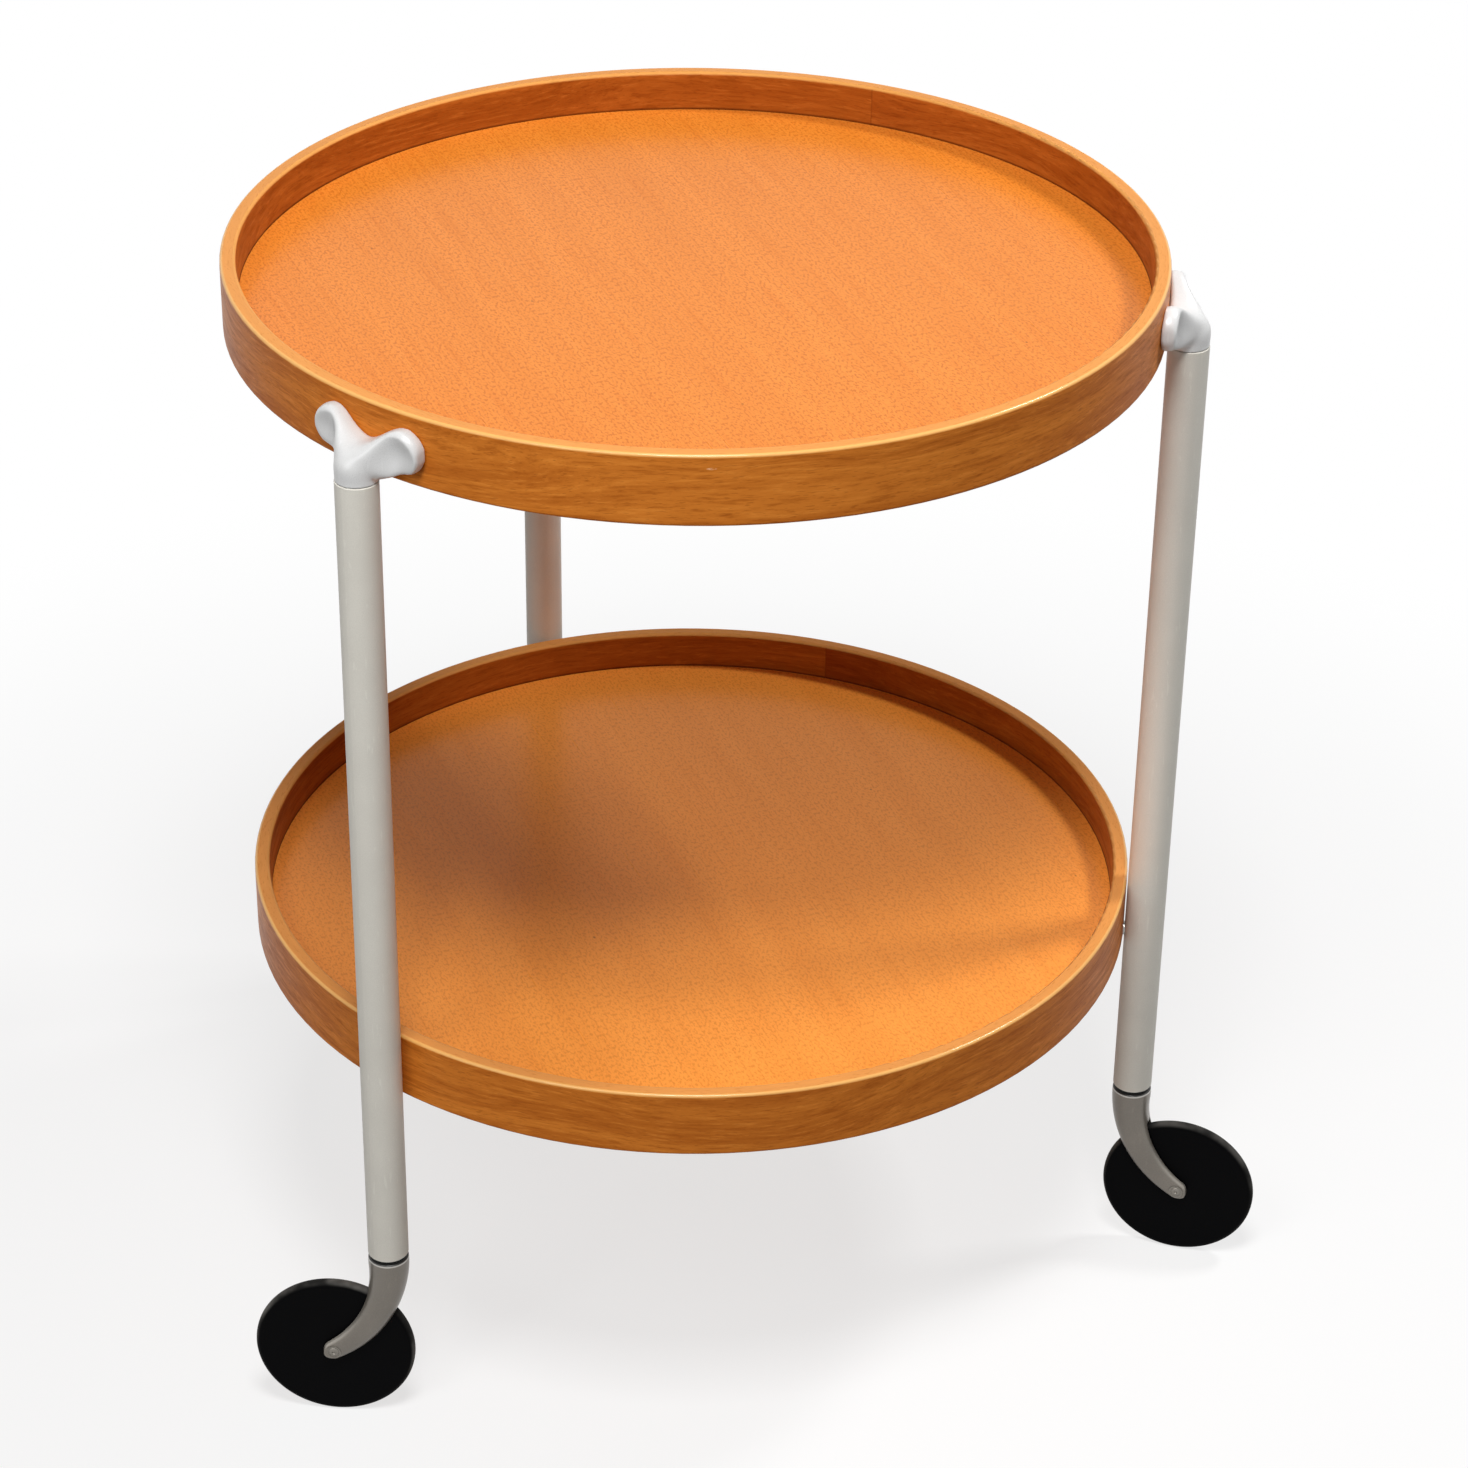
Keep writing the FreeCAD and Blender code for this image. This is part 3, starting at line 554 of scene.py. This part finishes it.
FINISHES = {
    "tube_coat": worn_finish(
        "tube_coat", colour=(0.82, 0.79, 0.71, 1), dark=(0.76, 0.73, 0.655, 1),
        rough=0.42, grain_size=0.5, seed=0.0, relief=0.06, specular_ior_level=0.12),
    "bracket_silver": bracket_silver(),
    "fork_alloy": fork_alloy(),
    "black_plastic": worn_finish(
        "black_plastic", colour=(0.004, 0.004, 0.004, 1), dark=(0.002, 0.002, 0.002, 1),
        rough=0.5, grain_size=0.4, seed=7.0, relief=0.10, specular_ior_level=0.12),
    "bright_steel": worn_finish(
        "bright_steel", colour=(0.48, 0.47, 0.45, 1), dark=(0.40, 0.39, 0.37, 1),
        rough=0.32, grain_size=0.3, seed=11.0, relief=0.08, metallic=0.9),
    "rivet_steel": worn_finish(
        "rivet_steel", colour=(0.27, 0.25, 0.22, 1), dark=(0.20, 0.185, 0.16, 1),
        rough=0.38, grain_size=0.3, seed=12.0, relief=0.08, metallic=0.6),
    "bush_nylon": worn_finish(
        "bush_nylon", colour=(0.60, 0.59, 0.55, 1), dark=(0.54, 0.53, 0.50, 1),
        rough=0.45, grain_size=0.5, seed=13.0, relief=0.06),
}

LEG_FINISHES = {
    "leg_tube": "tube_coat",
    "bracket": "bracket_silver",
    "socket": "black_plastic",
    "stem": "bright_steel",
    "stem_clip": "bright_steel",
    "fork": "fork_alloy",
    "axle": "bright_steel",
    "axle_washers": "bright_steel",
    "wheel_bush": "bush_nylon",
}


def paint(piece, material):
    """Gives a piece one material all over."""
    piece.data.materials.clear()
    piece.data.materials.append(material)


for tier in TIERS:
    paint(frame["nodes"][tier + "_tray_hoop"], beech_hoop(tier))
    paint(frame["nodes"][tier + "_tray_floor"], veneer_floor(tier))
    for fastener in ("bolts", "washers"):
        paint(frame["nodes"][tier + "_tray_" + fastener], FINISHES["bright_steel"])
paint(frame["nodes"]["lower_tray_rivet_nuts"], FINISHES["bright_steel"])
for leg in LEGS:
    for node, finish in LEG_FINISHES.items():
        paint(frame["nodes"][leg + "_" + node], FINISHES[finish])
    paint(frame["nodes"][leg + "_wheel"], wheel_rubber(leg))


# Castings remodelled from the frame's own solids

MERGE_DISTANCE = 0.002 * MM
SMOOTH_FACTOR = 0.5
FORK_VOXEL = 0.4 * MM
FORK_PASSES = 16
BRACKET_VOXEL = 0.65 * MM
BRACKET_PASSES = 12

# A bracket's soft root and rounded ends, by the distance from its middle and the height above its seam
ROOT_SOFT = (9.0 * MM, 21.0 * MM)
ROOT_FIRM = (2.0 * MM, 9.0 * MM)
ROOT_PASSES = 110
END_SOFT = (27.0 * MM, 35.0 * MM)
END_PASSES = 60

# The hollow in each lobe of a bracket: how far aside and below the rim its middle is, and its size
LOBE_REACH = 25.5 * MM
LOBE_DROP = 24.5 * MM
DISH_SIZE = 13.5 * MM
DISH_DEPTH = 4.0 * MM


def work_on(piece):
    """Selects one piece alone."""
    bpy.ops.object.select_all(action="DESELECT")
    piece.select_set(True)
    bpy.context.view_layer.objects.active = piece


def deselect_mesh(piece):
    """Deselects all of a piece's faces, edges and corners."""
    for part in (piece.data.polygons, piece.data.edges, piece.data.vertices):
        part.foreach_set("select", [False] * len(part))


def apply(piece, kind, **settings):
    """Adds a modifier to a piece and applies it."""
    modifier = piece.modifiers.new(kind.lower(), kind)
    for name, value in settings.items():
        setattr(modifier, name, value)
    work_on(piece)
    bpy.ops.object.modifier_apply(modifier=modifier.name)


def copy_of(node, name):
    """A new piece from a copy of a node's mesh, with its loose triangles merged."""
    piece = bpy.data.objects.new(name, frame["nodes"][node].data.copy())
    bpy.context.scene.collection.objects.link(piece)
    work_on(piece)
    bpy.ops.mesh.customdata_custom_splitnormals_clear()
    bpy.ops.object.mode_set(mode="EDIT")
    bpy.ops.mesh.select_all(action="SELECT")
    bpy.ops.mesh.remove_doubles(threshold=MERGE_DISTANCE)
    bpy.ops.object.mode_set(mode="OBJECT")
    return piece


def fade(value, near, far):
    """Falls smoothly from 1 at near to 0 at far."""
    share = min(1.0, max(0.0, (far - value) / (far - near)))
    return share * share * (3 - 2 * share)


def soften(piece, weight_at, passes):
    """Smooths a piece where a weight from 0 to 1 says so."""
    group = piece.vertex_groups.new(name="soft")
    for corner in piece.data.vertices:
        group.add([corner.index], weight_at(corner.co), "REPLACE")
    apply(piece, "SMOOTH", factor=SMOOTH_FACTOR, iterations=passes, vertex_group="soft")
    piece.vertex_groups.clear()


def dish(piece, spot, outward):
    """Hollows the outer face of a lobe round a spot behind it."""
    def aside(corner):
        return (corner.co - spot).cross(outward).length

    middle = max(
        (corner for corner in piece.data.vertices if aside(corner) < 2 * BRACKET_VOXEL),
        key=lambda corner: corner.co.dot(outward))
    deselect_mesh(piece)
    middle.select = True
    bpy.ops.object.mode_set(mode="EDIT")
    bpy.ops.mesh.select_mode(type="VERT")
    bpy.ops.transform.translate(
        value=-DISH_DEPTH * outward,
        use_proportional_edit=True,
        use_proportional_connected=True,
        proportional_edit_falloff="INVERSE_SQUARE",
        proportional_size=DISH_SIZE)
    bpy.ops.object.mode_set(mode="OBJECT")


def cast_bracket(leg):
    """The two-lobed top as one soft casting, cut off at the seam with its tube."""
    piece = copy_of(leg + "_bracket", leg + "_bracket_casting")
    bpy.ops.object.mode_set(mode="EDIT")
    bpy.ops.mesh.select_all(action="SELECT")
    bpy.ops.mesh.bisect(plane_co=(0, 0, SEAM_HEIGHT), plane_no=(0, 0, 1), use_fill=True, clear_inner=True)
    bpy.ops.object.mode_set(mode="OBJECT")
    apply(piece, "REMESH", mode="VOXEL", voxel_size=BRACKET_VOXEL)
    low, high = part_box(leg + "_leg_tube")
    outward = Vector((low.x + high.x, low.y + high.y, 0)).normalized()
    across = Vector((outward.y, -outward.x, 0))

    def softness(point):
        """Most at the root between the lobes, none at the lobes' ends or at the seam."""
        level = 1 - fade(point.z - SEAM_HEIGHT, *ROOT_FIRM)
        return level * fade(abs(point.dot(across)), *ROOT_SOFT)

    def roundness(point):
        """Most at the lobes' ends."""
        return 1 - fade(abs(point.dot(across)), *END_SOFT)

    soften(piece, roundness, END_PASSES)
    for side in (-1, 1):
        reach = side * LOBE_REACH * across + TRAY_RADIUS * outward
        dish(piece, reach + Vector((0, 0, RIM_TOPS["upper"] - LOBE_DROP)), outward)
    soften(piece, softness, ROOT_PASSES)
    apply(piece, "SMOOTH", factor=SMOOTH_FACTOR, iterations=BRACKET_PASSES)
    bpy.ops.object.shade_smooth()
    paint(piece, FINISHES["bracket_silver"])
    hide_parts(leg + "_bracket")
    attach(piece, "frame")


def cast_fork(leg):
    """The curved fork as a soft-edged casting."""
    piece = copy_of(leg + "_fork", leg + "_fork_casting")
    apply(piece, "REMESH", mode="VOXEL", voxel_size=FORK_VOXEL)
    apply(piece, "SMOOTH", factor=SMOOTH_FACTOR, iterations=FORK_PASSES)
    bpy.ops.object.shade_smooth()
    paint(piece, FINISHES["fork_alloy"])
    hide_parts(leg + "_fork")
    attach(piece, leg + "_swivel")


# Riveted axles: the pin, the flange, the groove and the domed button at each end

PIN_RADIUS = 3.0 * MM
PIN_SIDES = 48
HEAD_RISE = 1.4 * MM
FLANGE_RADIUS = 4.6 * MM
FLANGE_THICKNESS = 0.85 * MM
FLANGE_RING = 0.8 * MM
FLANGE_BEVEL = 0.12 * MM
BEVEL_STEPS = 2
BEVEL_ANGLE = math.radians(60)
GROOVE_DEPTH = 0.4 * MM
GROOVE_WIDTH = 0.6 * MM
BUTTON_HEIGHT = 0.9 * MM
BUTTON_TURNS = (30.0, 55.0, 70.0)
DIMPLE_DEPTH = 0.45 * MM
DIMPLE_SHARE = 0.6
SMOOTH_ANGLE = math.radians(32)


def end_face(piece, side):
    """Selects the outermost face at one end of a piece that lies along Z."""
    bpy.ops.object.mode_set(mode="OBJECT")
    ends = sorted(piece.data.polygons, key=lambda face: side * face.center.z)
    deselect_mesh(piece)
    ends[-1].select = True
    bpy.ops.object.mode_set(mode="EDIT")


def step_out(rise, size):
    """Extrudes the selected end along Z, and scales the new end about the axis."""
    bpy.ops.mesh.extrude_region_move(TRANSFORM_OT_translate={"value": (0, 0, rise)})
    bpy.ops.transform.resize(value=(size, size, 1), center_override=(0, 0, 0))


def rivet_pattern(reach):
    """An axle pin along Z, riveted over at both ends: a flange, a groove and a domed, dimpled button."""
    seat = reach - HEAD_RISE
    ring = FLANGE_RADIUS - FLANGE_RING
    button = ring - GROOVE_WIDTH
    bpy.ops.object.select_all(action="DESELECT")
    bpy.ops.mesh.primitive_cylinder_add(vertices=PIN_SIDES, radius=PIN_RADIUS, depth=2 * seat)
    pin = bpy.context.active_object
    for side in (-1, 1):
        end_face(pin, side)
        bpy.ops.mesh.select_mode(type="FACE")
        step_out(0.0, FLANGE_RADIUS / PIN_RADIUS)
        step_out(side * FLANGE_THICKNESS, 1.0)
        step_out(0.0, ring / FLANGE_RADIUS)
        step_out(side * -GROOVE_DEPTH, 1.0)
        step_out(0.0, button / ring)
        radius = button
        rise = 0.0
        for degrees in BUTTON_TURNS:
            turn = math.radians(degrees)
            step_out(side * (BUTTON_HEIGHT * math.sin(turn) - rise), button * math.cos(turn) / radius)
            radius = button * math.cos(turn)
            rise = BUTTON_HEIGHT * math.sin(turn)
        step_out(side * -DIMPLE_DEPTH, DIMPLE_SHARE)
    bpy.ops.mesh.select_all(action="SELECT")
    bpy.ops.mesh.normals_make_consistent(inside=False)
    bpy.ops.object.mode_set(mode="OBJECT")
    apply(
        pin, "BEVEL", width=FLANGE_BEVEL, segments=BEVEL_STEPS,
        limit_method="ANGLE", angle_limit=BEVEL_ANGLE)
    bpy.ops.object.shade_smooth_by_angle(angle=SMOOTH_ANGLE)
    return pin


def rivet_axles():
    """A riveted pin in place of each axle."""
    axis = Vector(joint_of("left_wheel_spin")["axis"])
    centre = Vector(joint_of("left_wheel_spin")["pos_m"])
    reach = max((corner.co - centre).dot(axis) for corner in frame["nodes"]["left_axle"].data.vertices)
    pattern = rivet_pattern(reach)
    for leg in LEGS:
        joint = joint_of(leg + "_wheel_spin")
        pin = bpy.data.objects.new(leg + "_axle_rivet", pattern.data.copy())
        bpy.context.scene.collection.objects.link(pin)
        pin.location = joint["pos_m"]
        pin.rotation_mode = "QUATERNION"
        pin.rotation_quaternion = Vector(joint["axis"]).to_track_quat("Z", "Y")
        work_on(pin)
        bpy.ops.object.transform_apply(location=True, rotation=True, scale=True)
        paint(pin, FINISHES["rivet_steel"])
        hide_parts(leg + "_axle")
        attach(pin, leg + "_swivel")
    bpy.data.objects.remove(pattern)


for leg in LEGS:
    cast_bracket(leg)
    cast_fork(leg)
rivet_axles()


# Studio: a floor that is grey to the light and pale to the eye, a dim even room, and soft lamps

STAGE_SIZE = 14.0
STAGE_FADE = (0.50, 1.10)
STAGE_BOUNCE = 0.40
STAGE_PALE = 0.93
STAGE_NEAR_WHITE = 0.72
ROOM_LEVEL = 0.02
WHITE = (1, 1, 1, 1)
LAMP_TARGET = Vector((0, 0, 0.45))
LAMPS = {
    "ceiling": {"spot": (-0.48, -1.26, 3.13), "size": 0.8, "power": 63.0},
    "right_side": {"spot": (1.66, -0.14, 2.44), "size": 0.45, "power": 29.0},
    "left_front": {"spot": (-2.42, -1.05, 1.41), "size": 1.2, "power": 9.0},
    "front_fill": {"spot": (-1.70, -1.38, 2.50), "size": 0.9, "power": 16.0},
}


def white_for_eye(tree):
    """1 where the eye, a reflection or a view through glass looks, 0 where light is gathered."""
    rays = add(tree, "LightPath", {}).outputs
    seen = calc(tree, "ADD", rays["Is Camera Ray"], rays["Is Glossy Ray"], clamp=True)
    return calc(tree, "ADD", seen, rays["Is Transmission Ray"], clamp=True)


def matt(tree, level):
    """A matt grey surface."""
    return add(tree, "BsdfDiffuse", {"Color": (level, level, level, 1)}).outputs[0]


def stage_floor():
    """A pale floor that keeps the soft shadow near the trolley and fades to white away from it."""
    bpy.ops.mesh.primitive_plane_add(size=STAGE_SIZE)
    floor = bpy.context.active_object
    floor.name = "stage_floor"
    material = bpy.data.materials.new("stage_white")
    material.use_nodes = True
    tree = material.node_tree
    tree.nodes.clear()
    white = add(tree, "Emission", {"Color": WHITE, "Strength": 1.0}).outputs[0]
    share = span(tree, length_of(tree, place(tree)), *STAGE_FADE, STAGE_NEAR_WHITE, 1.0)
    seen = add(tree, "MixShader", {0: share, 1: matt(tree, STAGE_PALE), 2: white}).outputs[0]
    bounce = matt(tree, STAGE_BOUNCE)
    surface = add(tree, "MixShader", {0: white_for_eye(tree), 1: bounce, 2: seen}).outputs[0]
    add(tree, "OutputMaterial", {"Surface": surface})
    floor.data.materials.append(material)


def room_light():
    """An even dim room, white where it is seen."""
    world = bpy.data.worlds.new("studio")
    bpy.context.scene.world = world
    world.use_nodes = True
    tree = world.node_tree
    tree.nodes.clear()
    level = calc(tree, "MAXIMUM", white_for_eye(tree), ROOM_LEVEL)
    background = add(tree, "Background", {"Color": WHITE, "Strength": level}).outputs[0]
    add(tree, "OutputWorld", {"Surface": background})


def soft_lamp(name, spot, size, power):
    """A square soft lamp at a spot, facing the trolley."""
    lamp = bpy.data.lights.new(name, "AREA")
    lamp.shape = "SQUARE"
    lamp.size = size
    lamp.energy = power
    holder = bpy.data.objects.new(name, lamp)
    bpy.context.scene.collection.objects.link(holder)
    holder.location = spot
    holder.rotation_euler = (LAMP_TARGET - Vector(spot)).to_track_quat("-Z", "Y").to_euler()


def camera():
    """The picture's viewpoint."""
    data = bpy.data.cameras.new("camera")
    data.lens = CAMERA_LENS
    data.sensor_width = CAMERA_SENSOR
    holder = bpy.data.objects.new("camera", data)
    bpy.context.scene.collection.objects.link(holder)
    heading = Matrix.Rotation(-math.radians(CAMERA_HEADING), 4, "Z")
    dip = Matrix.Rotation(math.radians(90 - CAMERA_DIP), 4, "X")
    roll = Matrix.Rotation(math.radians(CAMERA_ROLL), 4, "Z")
    holder.matrix_world = Matrix.Translation(CAMERA_PLACE) @ heading @ dip @ roll
    bpy.context.scene.camera = holder


stage_floor()
room_light()
for name, values in LAMPS.items():
    soft_lamp(name, **values)
camera()
bpy.context.scene.view_settings.view_transform = "Standard"
